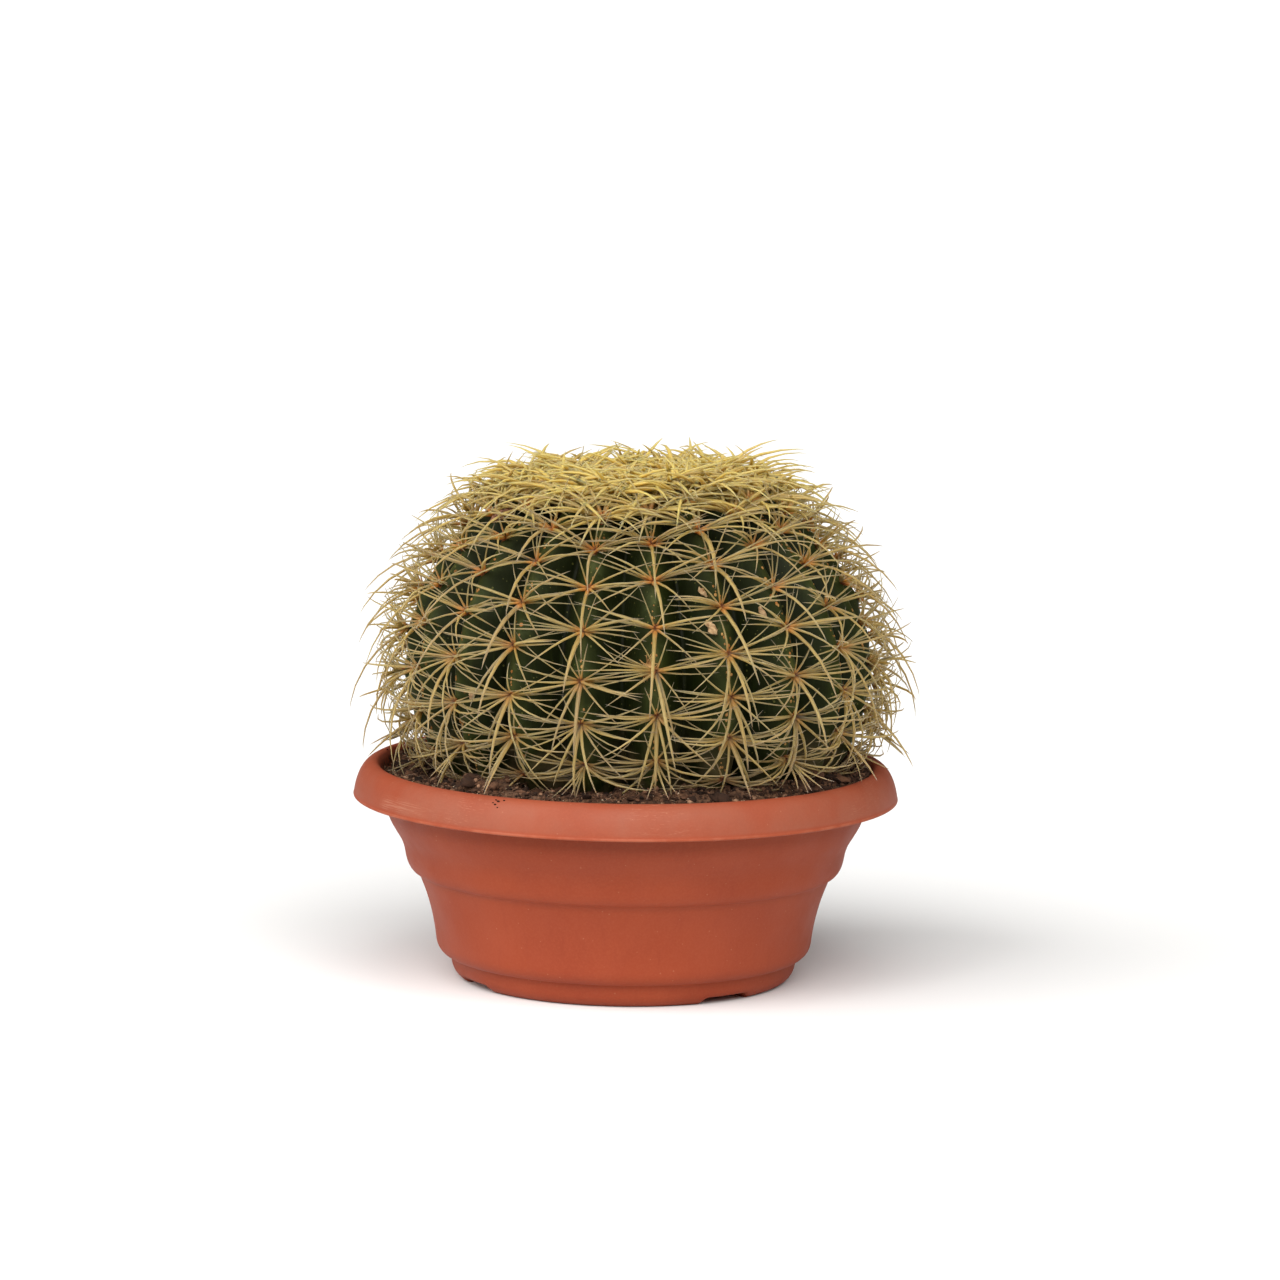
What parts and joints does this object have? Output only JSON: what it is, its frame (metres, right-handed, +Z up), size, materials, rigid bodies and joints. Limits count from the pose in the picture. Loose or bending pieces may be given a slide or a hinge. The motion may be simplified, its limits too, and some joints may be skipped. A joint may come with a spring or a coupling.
{
  "type": "potted round cactus",
  "caption": "Round ribbed cactus with long golden spines, growing in soil in a low stepped plastic bowl, to stand on a shelf or table as a live plant.",
  "frame": {"origin": "on the plant's vertical axis, in the plane that the pot stands on", "axes": "+Z up, the front that faces the viewer is -Y, +X to the viewer's right"},
  "size_m": [0.2856, 0.2801, 0.2755],
  "materials": {
    "pot_plastic": "matt terracotta-coloured moulded plastic, paler and faintly glossy at grazing angles, light scuffs on the rim",
    "potting_soil": null,
    "cactus_skin_and_spines": null,
    "crown_wool_and_spines": null
  },
  "bodies": {
    "root": {"pot": "pot_plastic", "soil": "potting_soil", "cactus": "cactus_skin_and_spines", "crown": "crown_wool_and_spines"}
  },
  "joints": []
}
